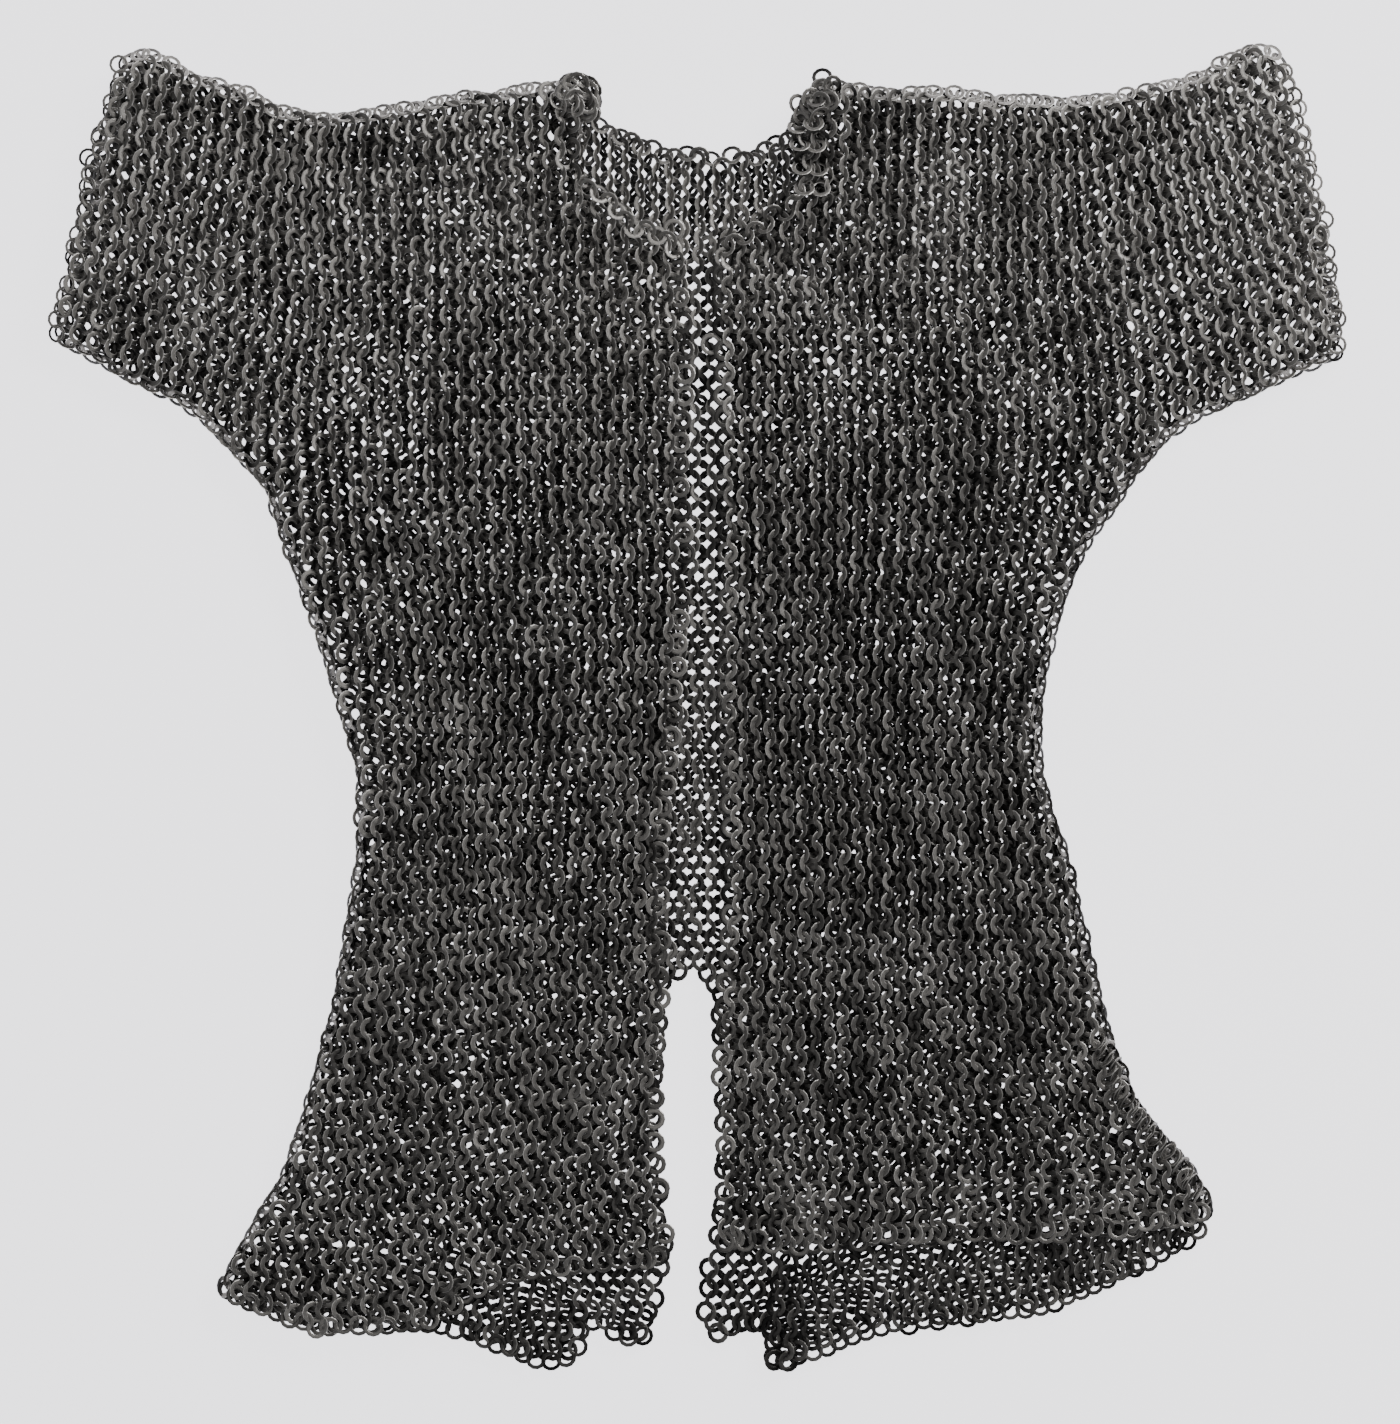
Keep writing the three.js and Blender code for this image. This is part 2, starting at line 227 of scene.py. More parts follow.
def shifted(mask, rows, columns):
    return np.roll(mask, (rows, columns), (0, 1))


def shrunk(mask, radius):
    """The part of a mask that is at least a radius inside its outline."""
    reach = int(radius / CELL)
    result = mask.copy()
    for rows in range(-reach, reach + 1):
        for columns in range(-reach, reach + 1):
            if math.hypot(rows, columns) * CELL <= radius:
                result &= shifted(mask, rows, columns)
    return result


def joined(*names):
    """The outline of several panels as one, with the narrow seams between them closed."""
    mask = np.any([panels[name].inside for name in names], axis=0)
    grown = ~shrunk(~mask, CELL)
    return shrunk(grown, CELL)


def depth_inside(mask):
    """How far each place of the grid lies inside an outline, below zero outside it."""
    rim = np.argwhere(mask & ~shrunk(mask, CELL))
    tree = KDTree(len(rim))
    for number, (row, column) in enumerate(rim):
        tree.insert((GRID_X[column], GRID_Y[row], 0), number)
    tree.balance()
    away = np.array([[tree.find((x, y, 0))[2] for x in GRID_X] for y in GRID_Y])
    depth = np.where(mask, away, -away) + CELL / 2
    for _ in range(2):
        beside = sum(shifted(depth, *step) for step in ((1, 0), (-1, 0), (0, 1), (0, -1)))
        depth = (depth + beside) / 5
    return depth


def value_at(field, x, y):
    """A field of the grid at places between its points."""
    column = np.clip((np.asarray(x) - GRID_X[0]) / CELL, 0, len(GRID_X) - 1.001)
    row = np.clip((np.asarray(y) - GRID_Y[0]) / CELL, 0, len(GRID_Y) - 1.001)
    left, low = column.astype(int), row.astype(int)
    across, up = column - left, row - low
    lower = field[low, left] * (1 - across) + field[low, left + 1] * across
    clear_of_painted_shade = field[low + 1, left] * (1 - across) + field[low + 1, left + 1] * across
    return lower * (1 - up) + clear_of_painted_shade * up


def smoothed(values, reach):
    """A running mean, over the cells on either side, of a line that has gaps in it."""
    known = ~np.isnan(values)
    places = np.arange(len(values))
    filled = np.interp(places, places[known], values[known])
    padded = np.pad(filled, reach, mode="edge")
    window = np.ones(2 * reach + 1) / (2 * reach + 1)
    return np.convolve(padded, window, mode="valid")


def side_line(mask, last):
    """In each row of the grid, where a mask starts or ends."""
    found = mask.any(axis=1)
    first = mask.argmax(axis=1)
    end = mask.shape[1] - 1 - np.flip(mask, 1).argmax(axis=1)
    return np.where(found, GRID_X[end if last else first], np.nan)


class Layer:
    """One layer of the shirt: panels woven together, their outline and the depth inside it."""

    def __init__(self, *names):
        self.names = names
        self.mask = joined(*names)
        self.depth = depth_inside(self.mask)


# Rings, spun from their section


def ring_shape(outside, band, thickness):
    """A flattened ring: a flat upper face over a ridge, as hammered wire has once it is closed."""
    mean = (outside - band) / 2
    shape = bmesh.new()
    inner = shape.verts.new((mean - band / 2, 0, thickness / 2))
    outer = shape.verts.new((mean + band / 2, 0, thickness / 2))
    ridge = shape.verts.new((mean, 0, -thickness / 2))
    sides = [shape.edges.new(pair) for pair in ((inner, outer), (outer, ridge), (ridge, inner))]
    bmesh.ops.spin(
        shape, geom=[inner, outer, ridge, *sides], cent=(0, 0, 0), axis=(0, 0, 1),
        angle=2 * math.pi, steps=RING_STEPS, use_merge=True,
    )
    bmesh.ops.remove_doubles(shape, verts=shape.verts, dist=MM / 100)
    bmesh.ops.recalc_face_normals(shape, faces=shape.faces)
    shape.verts.index_update()
    points = np.array([vertex.co for vertex in shape.verts])
    faces = np.array([[vertex.index for vertex in face.verts] for face in shape.faces])
    shape.free()
    # 0 at the inner rim, 1 at the outer one
    rim = (np.hypot(points[:, 0], points[:, 1]) - mean) / band + 0.5
    return points, faces, rim


# Each kind of ring has its outside diameter, the width of its band and its thickness. Most of the
# cloth is flat rings. Those of the back that the fronts cover are broad, so that the cloth closes.
RING_SHAPES = [
    ring_shape(*sizes) for sizes in (
        (RING_OUTSIDE, 3.0 * MM, 1.1 * MM),
        (13.0 * MM, 2.5 * MM, 1.4 * MM),
        (11.8 * MM, 1.7 * MM, 1.2 * MM),
        (14.8 * MM, 2.7 * MM, 1.0 * MM),
    )
]
FLAT, WIRE, THIN, BROAD = range(len(RING_SHAPES))
RING_POINTS = np.array([points for points, _, _ in RING_SHAPES])
FLAT_POINTS, RING_FACES, RING_RIM = RING_SHAPES[FLAT]
# The upper face is flat, and the two below it are smooth round the ring
RING_SMOOTH = np.array([FLAT_POINTS[face, 2].min() < 0 for face in RING_FACES])


class Rings:
    """Rings of a piece of cloth: the middle, turn, kind, tone and painted light, and panel of
    each.
    """

    def __init__(self):
        self.middles, self.turns, self.kinds, self.tones, self.owners = [], [], [], [], []

    def add(self, middle, across, along, lean, kind=FLAT, tone=None, size=1.0, owner=None):
        """A ring that leans from the cloth's plane, about the line that runs along the column."""
        across = np.asarray(across, float)
        along = np.asarray(along, float)
        up = np.cross(across, along)
        up /= np.linalg.norm(up)
        along = along / np.linalg.norm(along)
        across = np.cross(along, up)
        leaning = math.cos(lean) * across + math.sin(lean) * up
        turn = np.column_stack([leaning, along, np.cross(leaning, along)])
        self.middles.append(middle)
        self.turns.append(turn * size * rng.normal(1, 0.015))
        self.kinds.append(kind)
        self.tones.append(rng.random() if tone is None else tone)
        self.owners.append(owner)

    def part(self, test):
        """The rings whose middle and owner pass a test."""
        kept = Rings()
        for ring in zip(self.middles, self.turns, self.kinds, self.tones, self.owners):
            if test(ring[0], ring[4]):
                kept.take(ring)
        return kept

    def take(self, ring):
        lists = (self.middles, self.turns, self.kinds, self.tones, self.owners)
        for values, value in zip(lists, ring):
            values.append(value)

    def extend(self, other):
        for ring in zip(other.middles, other.turns, other.kinds, other.tones, other.owners):
            self.take(ring)


def cloth(name, rings, material, nodes):
    """One joined mesh of all the rings of a piece."""
    count, size = len(rings.middles), RING_POINTS.shape[1]
    offsets = np.einsum("nij,nvj->nvi", np.array(rings.turns), RING_POINTS[rings.kinds])
    points = offsets + np.array(rings.middles)[:, None, :]
    # No ring goes below the surface that the shirt lies on
    points[:, :, 2] += np.maximum(0, 0.05 * MM - points[:, :, 2].min(axis=1))[:, None]
    corners = (RING_FACES[None] + size * np.arange(count)[:, None, None]).reshape(-1)
    mesh = bpy.data.meshes.new(name)
    mesh.vertices.add(count * size)
    mesh.vertices.foreach_set("co", points.astype(np.float32).ravel())
    mesh.loops.add(len(corners))
    mesh.loops.foreach_set("vertex_index", corners.astype(np.int32))
    mesh.polygons.add(len(corners) // 4)
    mesh.polygons.foreach_set("loop_start", np.arange(0, len(corners), 4, dtype=np.int32))
    mesh.polygons.foreach_set("use_smooth", np.tile(RING_SMOOTH, count))
    mesh.update(calc_edges=True)
    rise = np.clip(0.5 + offsets[:, :, 2] / WALL, 0, 1)
    values = {"rim": np.tile(RING_RIM, count), "tone": np.repeat(rings.tones, size), "rise": rise}
    for label, value in values.items():
        layer = mesh.attributes.new(label, "FLOAT", "POINT")
        layer.data.foreach_set("value", value.astype(np.float32).ravel())
    mesh.materials.append(material)
    piece = bpy.data.objects.new(name, mesh)
    bpy.context.scene.collection.objects.link(piece)
    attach(piece, "root")
    for node_name in nodes:
        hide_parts(node_name)
    return piece


# The weave


def ripples(count, shortest, longest):
    """A soft, uneven wave over the cloth, between about -1 and 1."""
    turns = rng.uniform(0, 2 * math.pi, count)
    lengths = rng.uniform(shortest, longest, count)
    phases = rng.uniform(0, 2 * math.pi, count)

    def wave(x, y):
        total = np.zeros(np.shape(x))
        for turn, length, phase in zip(turns, lengths, phases):
            travel = x * math.cos(turn) + y * math.sin(turn)
            total = total + np.sin(2 * math.pi * travel / length + phase)
        return total / math.sqrt(count)

    return wave


def sleeve_share(x):
    """How far a place belongs to a sleeve, from 0 on the body to 1 near the cuff."""
    return smooth_step(np.abs(x), 0.17, 0.37)


def hem_bend(hem, x):
    """How far a hem's line lies above or below its level in the middle."""
    places, levels = zip(*hem)
    line = smoothed(np.interp(GRID_X, places, levels), 12)
    return np.interp(x, GRID_X, line - np.interp(0, GRID_X, line))


def front_painted_light_and_shade(x, y):
    """Painted light and shade on the fronts: how much lighter they are drawn at the shoulders and
    sleeves, toward the light, and darker on the left, which the window lights more.
    """
    left = smooth_step(x, -0.1, 0.1)
    sleeve = sleeve_share(x)
    level = (0.2 + 0.2 * left) * sleeve - 0.2 * left * (1 - sleeve)
    return level + 0.25 * smooth_step(y, 0.05, 0.30)


def back_tone_and_painted_shade(x, y):
    """How dark the inside of the back is drawn: darker all over, partly as painted shade where it
    lies under the fronts, near black at the hem, and lighter at the neck.
    """
    return 0.6 * smooth_step(y, 0.20, 0.30) - 0.5 - 0.3 * smooth_step(y, -0.27, -0.34)


def column_stretch(layer, edge, last):
    """In each row of the grid, how far the body's width draws the columns apart."""
    width = smoothed(np.abs(side_line(layer.mask, last) - edge), 6)
    width = np.where(GRID_Y > ARMPIT_Y, ARMHOLE_X, np.minimum(width, ARMHOLE_X * 1.25))
    return smoothed((width / BODY_WIDTH) ** 0.5, 12)


def row_columns(number, level, side, pitch):
    """How far out the rings of a row lie: every second row is shifted by half a ring."""
    half = pitch * 0.5 * (number % 2)
    if side:
        return np.arange(0, FRONT_REACH, pitch) + 2 * MM + half
    columns = np.arange(0, BACK_REACH[1] - BACK_REACH[0], pitch) + BACK_REACH[0] + half
    crowding = CROWDING * smooth_step(level, HEM_Y, HEM_Y + 0.05)
    beyond = np.clip(np.abs(columns) - CROWDED_FROM, 0, None)
    return columns - crowding * np.sign(columns) * beyond


def lay_row(level, x, side, hem):
    """The places of a row and its share of sleeve: it rises on the sleeves and follows the hem."""
    above = smooth_step(level, ARMPIT_Y - 0.25, ARMPIT_Y - 0.08)
    on_sleeve = sleeve_share(x) * above
    x = x - np.sign(x) * SLEEVE_TURN * on_sleeve * (level - SLEEVE_TURN_Y)
    past = np.abs(x) - SLEEVE_RISE_X
    y = level + SLEEVE_RISE * above * 0.5 * (past + np.sqrt(past ** 2 + SLEEVE_RISE_SOFTLY ** 2))
    if side:
        # The last rows of the fronts rise to the neck and sink toward the armholes
        rise = np.clip(0.015 - 0.12 * (np.abs(x) - NECK_X), -0.006, 0.015)
        y = y + smooth_step(level, 0.20, SHOULDER_Y) * rise
    else:
        beyond = np.clip(y - BACK_NECK_Y, 0, None)
        y = y - BACK_NECK_PUSH * beyond * (np.abs(x) < BACK_NECK_X)
    return x, y + smooth_step(level, 0.05, -0.38) * hem_bend(hem, x), on_sleeve


def weave(layer, edge, side, hem, pitch, leans, sway_by, tone_and_painted_light_at, cover=None):
    """Rings over a layer: rows from the hem to the shoulder, columns from an edge outwards.

    The side is -1 for the right front, 1 for the left one, and 0 for the back."""
    stretch = column_stretch(layer, edge, side > 0)
    sway = ripples(7, 0.09, 0.30)
    push = ripples(7, 0.07, 0.25)
    wobble = ripples(9, 0.05, 0.16)
    rings = Rings()
    for number, level in enumerate(np.arange(*ROW_LEVELS, pitch[1])):
        columns = row_columns(number, level, side, pitch[0])
        drawn = (side or 1) * columns * np.interp(level, GRID_Y, stretch)
        x, y, on_sleeve = lay_row(level, np.interp(level, GRID_Y, edge) + drawn, side, hem)
        x, y = x + sway_by * sway(x, y), y + sway_by * push(x, y)
        covered = np.zeros(len(x)) if cover is None else value_at(cover, x, y) > 5 * MM
        # Rings that can't be seen from above lie less evenly
        spread = np.where(covered, COVERED_SPREAD, PLACE_SPREAD)
        x = x + rng.normal(0, 1, len(x)) * spread
        y = y + rng.normal(0, 1, len(x)) * spread
        inset = value_at(layer.depth, x, y)
        opening = (np.abs(x) < OPENING_X) & (y < OPENING_TOP_Y)
        nearest = np.where(opening, 2.0 * MM if side else 4.5 * MM, 8.0 * MM)
        lean_at = leans[0] + (leans[1] - leans[0]) * smooth_step(y, -0.22, -0.02)
        lean_at = lean_at * (1 + 0.12 * wobble(x, y)) + rng.normal(0, LEAN_SPREAD, len(x))
        if side:
            # The last rings along the opening lie nearly flat
            lean_at = np.where(opening & (inset < 6.5 * MM), 0.35 * lean_at, lean_at)
        else:
            # The back's neck is crowded, so its rings stand up
            steeper = smooth_step(y, 0.285, 0.325) * (np.abs(x) < BACK_NECK_X)
            lean_at = lean_at + math.radians(18) * steeper
        # Every second row leans the other way
        lean_at = np.where(covered, 0.5, 1) * lean_at * (1 if number % 2 == 0 else -1)
        # Each ring's tone: painted light and shade by region, with a random part
        tones = tone_and_painted_light_at(x, y) + rng.uniform(-0.2, 1.2, len(x))
        for place in np.flatnonzero(inset >= nearest):
            found = topmost(x[place], y[place], layer.names)
            if not found:
                continue
            height, normal, owner = found
            if cover is not None:
                height, normal = min(height, WALL), Vector((0, 0, 1))
            tip = rng.normal(0, TIP_SPREAD)
            run = -SLEEVE_TURN * np.sign(x[place]) * on_sleeve[place]
            along = (run, 1, tip - SLOPE_SHARE * normal.y / max(normal.z, 0.5))
            across = (1, -run, -SLOPE_SHARE * normal.x / max(normal.z, 0.5))
            middle = (x[place], y[place], height - WALL / 2 + rng.normal(0, HEIGHT_SPREAD))
            kind = BROAD if covered[place] else FLAT
            rings.add(middle, across, along, lean_at[place], kind, tones[place], owner=owner)
    return rings


def pleats(layer, mask, turn):
    """A second ply of rings where the foot of the back is folded on itself."""
    depth = depth_inside(mask)
    rings = Rings()
    for number, down in enumerate(np.arange(-0.16, 0.16, LOWER_PITCH[1])):
        half = LOWER_PITCH[0] * 0.5 * (number % 2)
        for across in np.arange(-0.46, 0.46, LOWER_PITCH[0]) + half:
            x = across + down * turn + rng.normal(0, PLACE_SPREAD)
            y = PLEAT_MIDDLE_Y + down - across * turn * 0.4 + rng.normal(0, PLACE_SPREAD)
            near = abs(x) < 0.45 and -0.44 < y < -0.33
            if not near or value_at(depth, x, y) < 4.5 * MM:
                continue
            found = topmost(x, y, layer.names)
            if found:
                lean = BACK_LEAN * (1 if number % 2 == 0 else -1)
                tone = back_tone_and_painted_shade(x, y) + rng.random()
                middle = (x, y, found[0] - WALL / 2)
                rings.add(middle, (1, 0, 0), (turn, 1, 0), lean, tone=tone, owner=found[2])
    return rings


def edge_run(depth, inset, step):
    """Places along the line that runs just inside an outline, each with its way outwards."""
    down, across = np.gradient(depth, CELL)
    row, column = np.unravel_index(np.argmin(np.abs(depth - inset)), depth.shape)
    place = np.array([GRID_X[column], GRID_Y[row]])
    run = []
    # No outline is this many steps long, so the run ends where it comes round to its start
    while len(run) < 9000:
        for _ in range(2):
            out = -np.array([value_at(across, *place), value_at(down, *place)])
            out /= np.linalg.norm(out) + 1e-9
            place = place + out * (value_at(depth, *place) - inset)
        run.append((place, out))
        if len(run) > 30 and np.linalg.norm(place - run[0][0]) < step:
            break
        place = place + step * np.array([-out[1], out[0]])
    return run


# How the rings of an edge lie: their pitch along it, the inset of their middles and how unevenly
# they keep to it, all in millimetres, their lean in degrees, and their kind
EDGES = {
    "fold": {"pitch": 6.0, "inset": 4.6, "spread": 0.6, "lean": 56, "kind": FLAT},
    "shoulder": {"pitch": 6.6, "inset": 5.2, "spread": 0.9, "lean": 42, "kind": WIRE},
    "hem": {"pitch": 9.4, "inset": 6.4, "spread": 0.9, "lean": 8, "kind": WIRE},
    "cuff": {"pitch": 8.0, "inset": 6.0, "spread": 2.2, "lean": 14, "kind": THIN},
    "neck": {"pitch": 7.5, "inset": 6.6, "spread": 1.4, "lean": 28, "kind": WIRE},
}


def edge_kind(place, out):
    """The sort of edge at a place on an outline, or None where the weave itself ends it."""
    x, y = place
    if abs(x) < NECK_X + 0.006 and y > 0.275:
        return "neck"
    if y < HEM_Y and out[1] < -0.35 and abs(x) > 0.02:
        return "hem"
    if abs(x) < 0.04:
        return None
    if abs(x) > CUFF_X and abs(out[0]) > 0.75 and y > 0.19:
        return "cuff"
    return "shoulder" if out[1] > 0.7 and y > 0.3 else "fold"


def edge_rings(layer, sorts, under=False):
    """The rings that finish a layer along those of its edges that are of some sorts."""
    step = 0.5 * MM
    trace_inset = 6.0 * MM
    since = 0
    way = 1
    rings = Rings()
    for place, out in edge_run(layer.depth, trace_inset, step):
        sort = edge_kind(place, out)
        since += step
        if sort not in sorts or since < EDGES[sort]["pitch"] * MM * 0.93:
            continue
        edge = EDGES[sort]
        since = rng.uniform(-0.06, 0.06) * (edge["pitch"] * MM)
        way = -way
        found = topmost(*place, layer.names)
        if not found:
            continue
        height, _, owner = found
        outwards = trace_inset - edge["inset"] * MM + rng.normal(0, edge["spread"] * MM)
        middle = place + out * outwards
        lean = math.radians(edge["lean"] + rng.normal(0, 5)) * way
        if sort in ("fold", "shoulder"):
            level = 0.5 * min(height, 2 * WALL)
        else:
            level = (min(height, WALL) if under else height) - 0.4 * WALL
        tone = rng.random() + (back_tone_and_painted_shade if under else front_painted_light_and_shade)(*middle)
        if sort == "neck" and not under and place[0] < 0:
            # The free rings of the right front's neckline are given a bright tone
            tone = rng.uniform(1.3, 2.2)
        elif sort == "shoulder":
            # The shoulders' rings, which all face outwards over the fold, get a painted highlight:
            # a much lighter tone
            tone += 1.8
            level += 0.25 * WALL
            lean = -abs(lean)
        along = (-out[1], out[0], 0)
        rings.add((*middle, level), (*out, 0), along, lean, edge["kind"], tone, owner=owner)
    return rings


def hip_roll(edges):
    """Two more rows of rings, on edge, where the left front's hip is rolled over its side."""
    rings = Rings()
    for middle in edges.middles:
        if middle[0] < HIP_X or not HEM_Y < middle[1] < HIP_Y:
            continue
        # Square to the hip, which slants
        inwards = np.array([-0.80, 0.60, 0])
        for row in (1, 2):
            place = np.array(middle) + inwards * row * 6.5 * MM + (0, 0, 6 * MM)
            lean = math.radians(rng.uniform(48, 78)) * rng.choice((-1, 1))
            rings.add(place, -inwards, (0.60, 0.80, 0), lean, WIRE, rng.uniform(0.6, 1.3))
    return rings


def bunch(x, y, names, count):
    """Rings that lie almost any way up, as where a corner of the neck is bunched."""
    rings = Rings()
    while len(rings.middles) < count:
        spot = (x + rng.normal(0, BUNCH_REACH), y + rng.normal(0, BUNCH_REACH * 0.75))
        found = topmost(*spot, names)
        if not found:
            continue
        tip = rng.normal(0, 0.45, 2)
        level = found[0] + rng.uniform(-0.5, 0.25) * WALL
        rings.add((*spot, level), (1, 0, tip[0]), (0, 1, tip[1]), 0, WIRE, rng.uniform(0.3, 1.6))
    return rings


def neck_fold(start, end, names):
    """The left front's neck edge, folded under, so that its rings face down the shirt."""
    rings = Rings()
    length = math.hypot(end[0] - start[0], end[1] - start[1])
    for number, share in enumerate(np.arange(0, 1, 6.6 * MM / length)):
        for side in (-1, 1):
            x = start[0] + share * (end[0] - start[0]) + (5.0 * side + 2.5 * (number % 2)) * MM
            y = start[1] + share * (end[1] - start[1]) + rng.normal(0, 0.6 * MM)
            found = topmost(x, y, names)
            if not found:
                continue
            low = number % 2
            lean = math.radians(40 + rng.normal(0, 5)) * (-1 if low else 1)
            middle = (x, y, found[0] - low * 2 * MM)
            # Painted shade and highlight on the fold: the rings lying lower get a dark tone, the
            # upper ones a bright one
            tone = rng.uniform(-0.4, 0.2) if low else rng.uniform(1.0, 2.0)
            rings.add(middle, (0, -1, 0), (1, 0, 0), lean, WIRE, tone)
    return rings


def loose_rings(names):
    """Rings that lie free on a front, or on the back where the opening shows it."""
    rings = Rings()
    for x, y in LOOSE_RINGS:
        found = topmost(x, y, names)
        level = (found[0] if found else WALL) + 1.0 * MM
        rings.add((x, y, level), (1, 0, 0.05), (0, 1, 0.08), 0, WIRE, 2.2, 1.06)
    return rings


# Materials


def linear(code):
    """The linear colour of an sRGB hex value."""
    parts = [int(code[place:place + 2], 16) / 255 for place in (1, 3, 5)]
    return (*(p / 12.92 if p <= 0.04045 else ((p + 0.055) / 1.055) ** 2.4 for p in parts), 1)


def node(tree, kind, settings=None, **links):
    """A node with its settings and the links or values of its inputs: i0 and on go by number."""
    made = tree.nodes.new(kind)
    for name, value in (settings or {}).items():
        setattr(made, name, value)
    for name, value in links.items():
        socket = made.inputs[int(name[1:]) if name[1:].isdigit() else name.replace("_", " ")]
        if isinstance(value, bpy.types.NodeSocket):
            tree.links.new(value, socket)
        else:
            socket.default_value = value
    return made


def browned_iron():
    """Wrought iron wire, hammered flat and browned with age: dark faces, darkened further by
    painted shade where a ring goes under its neighbours, and rims drawn bright, partly wear and
    partly painted highlight.
    """
    material = bpy.data.materials.new("browned_wrought_iron")
    material.use_nodes = True
    tree = material.node_tree
    tree.nodes.clear()
    place = node(tree, "ShaderNodeTexCoord").outputs["Object"]
    # Where a point lies between the ring's rims, how light the ring is drawn, painted light and
    # shade included, and how high the point is
    rim, tone, rise = (
        node(tree, "ShaderNodeAttribute", {"attribute_name": name}).outputs["Fac"]
        for name in ("rim", "tone", "rise")
    )
    # Patches of patina about 60 mm across, and mottling of about 3 mm
    patches = node(
        tree, "ShaderNodeTexNoise", Vector=place, Scale=1 / (60 * MM), Detail=2.0).outputs["Fac"]
    mottle = node(
        tree, "ShaderNodeTexNoise", Vector=place, Scale=1 / (3 * MM), Detail=3.0).outputs["Fac"]
    # The ring's tone, with its painted light and shade, and the mottling and patches set how light
    # the faces are
    uneven = node(tree, "ShaderNodeMath", {"operation": "ADD"}, i0=tone, i1=mottle).outputs[0]
    uneven = node(tree, "ShaderNodeMath", {"operation": "ADD"}, i0=uneven, i1=patches).outputs[0]
    share = node(
        tree, "ShaderNodeMapRange",
        Value=uneven, From_Min=0.7, From_Max=2.2, To_Min=0.0, To_Max=1.0,
    ).outputs[0]
    faces = node(
        tree, "ShaderNodeMix", {"data_type": "RGBA"},
        i0=share, i6=linear("#454341"), i7=linear("#83807c"),
    ).outputs[2]
    # Painted shade: where the ring goes below its neighbours it is drawn darker, toward near
    # black, the lower the darker, and less so on rings with a lighter tone
    painted_shade_lift = node(
        tree, "ShaderNodeMath", {"operation": "MULTIPLY_ADD"}, i0=tone, i1=0.20, i2=rise,
    ).outputs[0]
    clear_of_painted_shade = node(
        tree, "ShaderNodeMapRange", {"interpolation_type": "SMOOTHSTEP"},
        Value=painted_shade_lift, From_Min=0.32, From_Max=0.86, To_Min=0.0, To_Max=1.0,
    ).outputs[0]
    faces = node(
        tree, "ShaderNodeMix", {"data_type": "RGBA"}, i0=clear_of_painted_shade, i6=linear("#171615"), i7=faces,
    ).outputs[2]
    # The rims are drawn bright, partly as wear and partly as a painted highlight, where nothing
    # covers them, out of the painted shade, and the more on lighter rings
    off = node(tree, "ShaderNodeMath", {"operation": "SUBTRACT"}, i0=rim, i1=0.5).outputs[0]
    off = node(tree, "ShaderNodeMath", {"operation": "ABSOLUTE"}, i0=off).outputs[0]
    wear_and_painted_highlight = node(
        tree, "ShaderNodeMapRange", {"interpolation_type": "SMOOTHSTEP"},
        Value=off, From_Min=0.30, From_Max=0.5, To_Min=0.0, To_Max=0.9,
    ).outputs[0]
    wear_and_painted_highlight = node(tree, "ShaderNodeMath", {"operation": "MULTIPLY"}, i0=wear_and_painted_highlight, i1=clear_of_painted_shade).outputs[0]
    wear_and_painted_highlight = node(tree, "ShaderNodeMath", {"operation": "MULTIPLY"}, i0=wear_and_painted_highlight, i1=share).outputs[0]
    colour = node(
        tree, "ShaderNodeMix", {"data_type": "RGBA"}, i0=wear_and_painted_highlight, i6=faces, i7=linear("#d6d3cf"),
    ).outputs[2]
    rough = node(
        tree, "ShaderNodeMapRange",
        Value=mottle, From_Min=0.3, From_Max=0.7, To_Min=0.36, To_Max=0.55,
    ).outputs[0]
    # Hammer marks of about 1.5 mm, and rims worn round
    marks = node(
        tree, "ShaderNodeTexNoise", Vector=place, Scale=1 / (1.5 * MM), Detail=2.0).outputs["Fac"]
    bump = node(tree, "ShaderNodeBump", Height=marks, Strength=0.25, Distance=0.2 * MM).outputs[0]
    round_rim = node(
        tree, "ShaderNodeMapRange", {"interpolation_type": "SMOOTHSTEP"},
        Value=off, From_Min=0.25, From_Max=0.55, To_Min=1.0, To_Max=0.0,
    ).outputs[0]
    bump = node(
        tree, "ShaderNodeBump", Height=round_rim, Strength=0.8, Distance=0.6 * MM, Normal=bump,
    ).outputs[0]
    # Less than wholly metallic, because the brown skin of oxide on the iron doesn't shine
    shader = node(
        tree, "ShaderNodeBsdfPrincipled",
        Base_Color=colour, Metallic=0.75, Roughness=rough, Normal=bump,
    ).outputs[0]
    node(tree, "ShaderNodeOutputMaterial", Surface=shader)
    return material


# From the middle of the table to its edges
TABLE_REACH = 8.0


def pale_floor():
    """A pale table lit from within, as a light table is, so it shows white between the rings."""
    material = bpy.data.materials.new("pale_table")
    material.use_nodes = True
    shader = material.node_tree.nodes["Principled BSDF"]
    shader.inputs["Base Color"].default_value = linear("#8c8b8f")
    shader.inputs["Roughness"].default_value = 0.9
    shader.inputs["Emission Color"].default_value = linear("#dbdade")
    shader.inputs["Emission Strength"].default_value = 3.3
    return material


def add_floor():
    """A table wide enough to fill every view, just under the lowest rings."""
    shape = bmesh.new()
    bmesh.ops.create_grid(shape, x_segments=1, y_segments=1, size=TABLE_REACH)
    mesh = bpy.data.meshes.new("table")
    shape.to_mesh(mesh)
    shape.free()
    mesh.transform(Matrix.Translation((0, 0, -0.3 * MM)))
    mesh.materials.append(pale_floor())
    floor = bpy.data.objects.new("table", mesh)
    bpy.context.scene.collection.objects.link(floor)


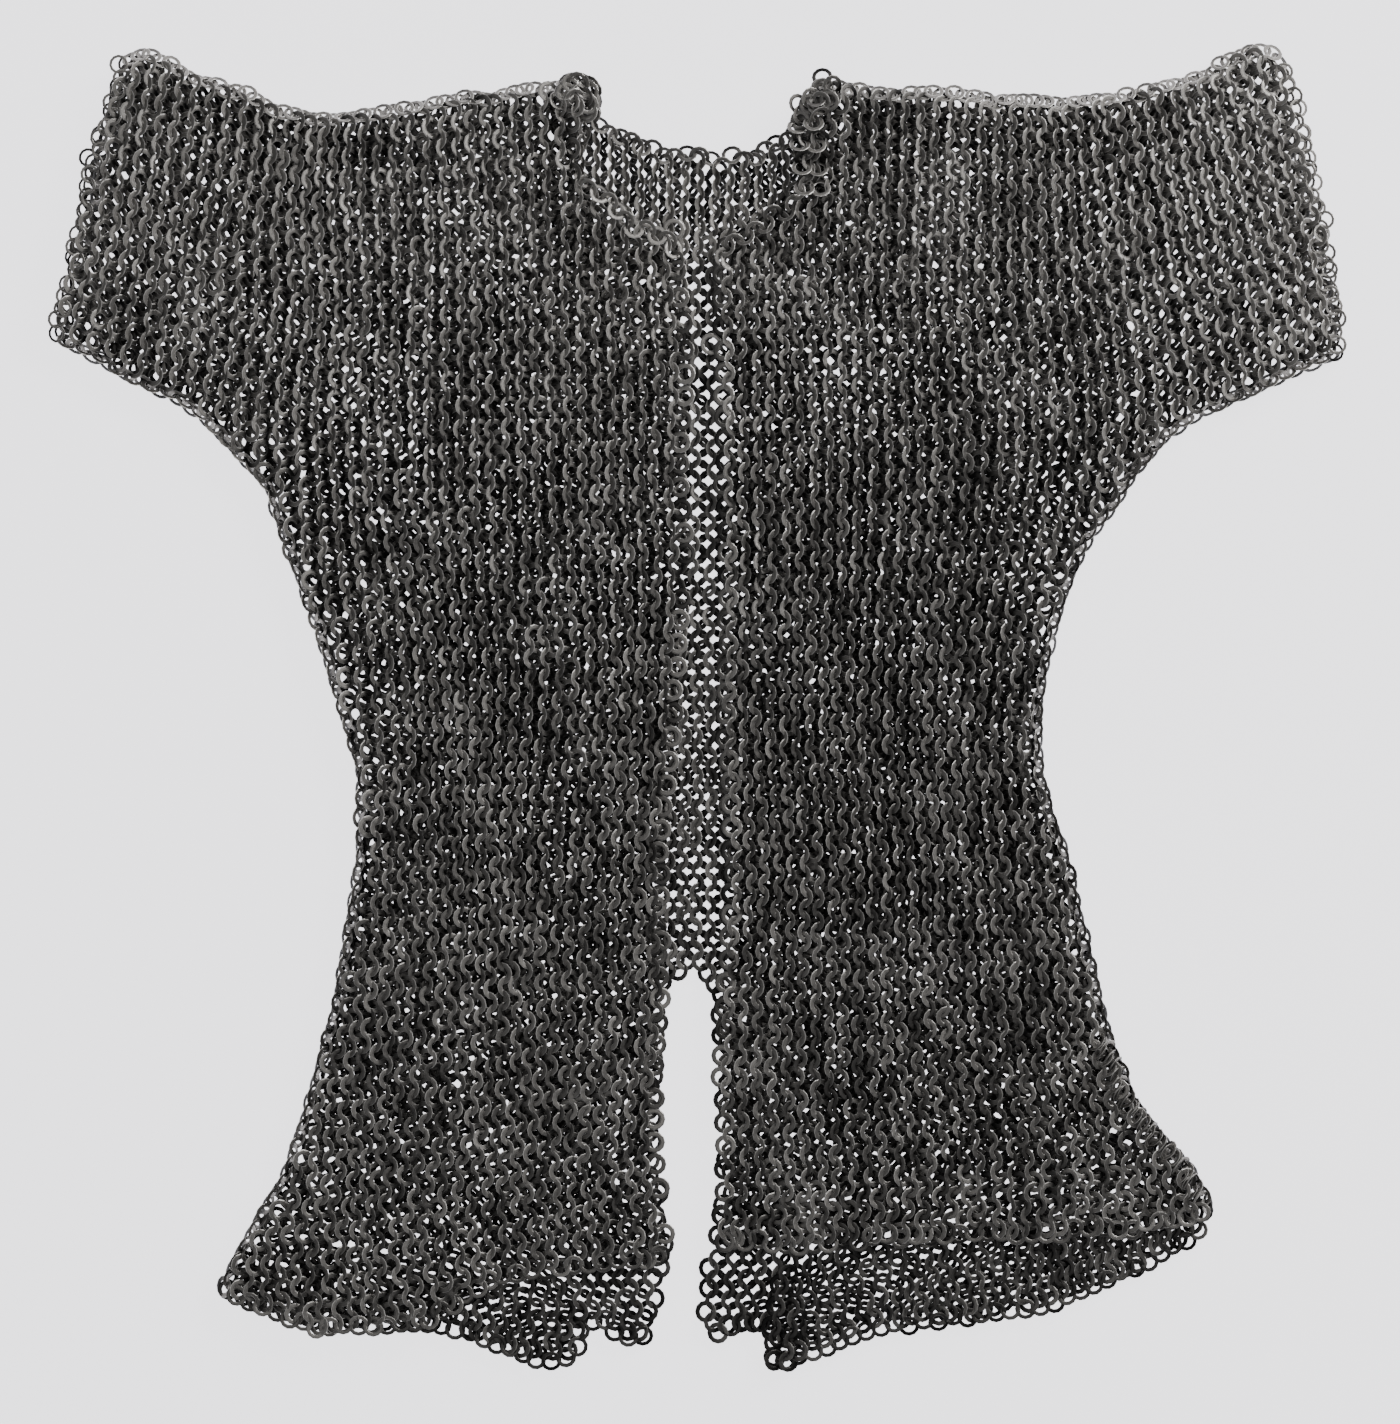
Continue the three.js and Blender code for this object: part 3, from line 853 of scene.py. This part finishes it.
def add_light(name, place, size, power):
    """A soft rectangular light that faces the shirt, with its power in watts."""
    light = bpy.data.lights.new(name, "AREA")
    light.shape = "RECTANGLE"
    light.size, light.size_y = size
    light.energy = power
    holder = bpy.data.objects.new(name, light)
    holder.location = place
    holder.rotation_euler = (-Vector(place)).to_track_quat("-Z", "Y").to_euler()
    bpy.context.scene.collection.objects.link(holder)


iron = browned_iron()
add_floor()
add_light("window", (1.6, 1.6, 1.3), (1.6, 0.8), 67)
add_light("ceiling", (-0.4, -0.2, 2.8), (2.0, 2.0), 14)
world = bpy.data.worlds.new("studio")
world.use_nodes = True
world.node_tree.nodes["Background"].inputs["Color"].default_value = linear("#d8dade")
world.node_tree.nodes["Background"].inputs["Strength"].default_value = 0.35
bpy.context.scene.world = world

# Weave the two layers


def opening_edge(name, last):
    """In each row of the grid, where a front starts beside the opening."""
    line = side_line(panels[name].inside, last)
    below_neck = np.where(GRID_Y < NECKLINE_FOOT_Y, line, np.nan)
    return smoothed(below_neck, 4)


right = Layer("front_right", "sleeve_right")
left = Layer("front_left", "sleeve_left")
lower = Layer("back_panel", "sleeve_right", "sleeve_left")
FRONT_LEANS = (SKIRT_LEAN, FRONT_LEAN)
right_rings = weave(
    right, opening_edge("front_right", True), -1, RIGHT_HEM, UPPER_PITCH, FRONT_LEANS,
    FRONT_SWAY, front_painted_light_and_shade)
left_rings = weave(
    left, opening_edge("front_left", False), 1, LEFT_HEM, UPPER_PITCH, FRONT_LEANS,
    FRONT_SWAY, front_painted_light_and_shade)
lower_rings = weave(
    lower, np.zeros(len(GRID_Y)), 0, BACK_HEM, LOWER_PITCH, (BACK_LEAN, BACK_LEAN),
    BACK_SWAY, back_tone_and_painted_shade, cover=np.maximum(right.depth, left.depth))

# Finish the edges, and add what is folded, bunched or loose
right_edges = edge_rings(right, EDGES)
left_edges = edge_rings(left, EDGES)
back_edges = edge_rings(lower, ("hem", "cuff", "neck"), under=True)
left_edges.extend(hip_roll(left_edges))
right_edges.extend(bunch(*RIGHT_BUNCH, right.names, RIGHT_BUNCH_RINGS))
left_edges.extend(bunch(*LEFT_BUNCH, left.names, LEFT_BUNCH_RINGS))
left_edges.extend(neck_fold(*NECK_FOLD, left.names))
right_edges.extend(loose_rings(right.names))
pleated = (panels["back_panel"].height > PLEAT_HEIGHT) & (GRID_Y[:, None] < PLEAT_TOP_Y)
back_edges.extend(pleats(lower, pleated, PLEAT_TURN))


def owned(rings, name, low=-math.inf, high=math.inf):
    """The rings on one panel, between two levels along the shirt."""
    return rings.part(lambda middle, owner: owner == name and low <= middle[1] < high)


back_skirt = owned(lower_rings, "back_panel", high=WAIST_Y)
back_waist = owned(lower_rings, "back_panel", WAIST_Y, CHEST_Y)
back_chest = owned(lower_rings, "back_panel", CHEST_Y)
sleeve_right = owned(right_rings, "sleeve_right")
sleeve_right.extend(owned(lower_rings, "sleeve_right"))
sleeve_left = owned(left_rings, "sleeve_left")
sleeve_left.extend(owned(lower_rings, "sleeve_left"))

# The pieces: the rings of each, the panel that they stand for, and the width and length of the
# flat cloth that they make when the mail is spread evenly
PIECES = {
    "back_skirt_rings": (back_skirt, "back_panel", (0.66, 0.29)),
    "back_waist_rings": (back_waist, "back_panel", (0.58, 0.33)),
    "back_chest_rings": (back_chest, "back_panel", (0.64, 0.31)),
    "front_right_rings": (owned(right_rings, "front_right"), "front_right", (0.34, 0.78)),
    "front_left_rings": (owned(left_rings, "front_left"), "front_left", (0.34, 0.73)),
    "sleeve_right_rings": (sleeve_right, "sleeve_right", (0.50, 0.17)),
    "sleeve_left_rings": (sleeve_left, "sleeve_left", (0.50, 0.17)),
}
# The rings that go with a sheet, and which one
EDGE_PIECES = {
    "edge_right_rings": (right_edges, "front_right_rings"),
    "edge_left_rings": (left_edges, "front_left_rings"),
    "edge_back_rings": (back_edges, "back_skirt_rings"),
}

edges = {on: cloth(name, rings, iron, []) for name, (rings, on) in EDGE_PIECES.items()}
for name, (rings, node_name, flat) in PIECES.items():
    piece = cloth(name, rings, iron, [node_name])
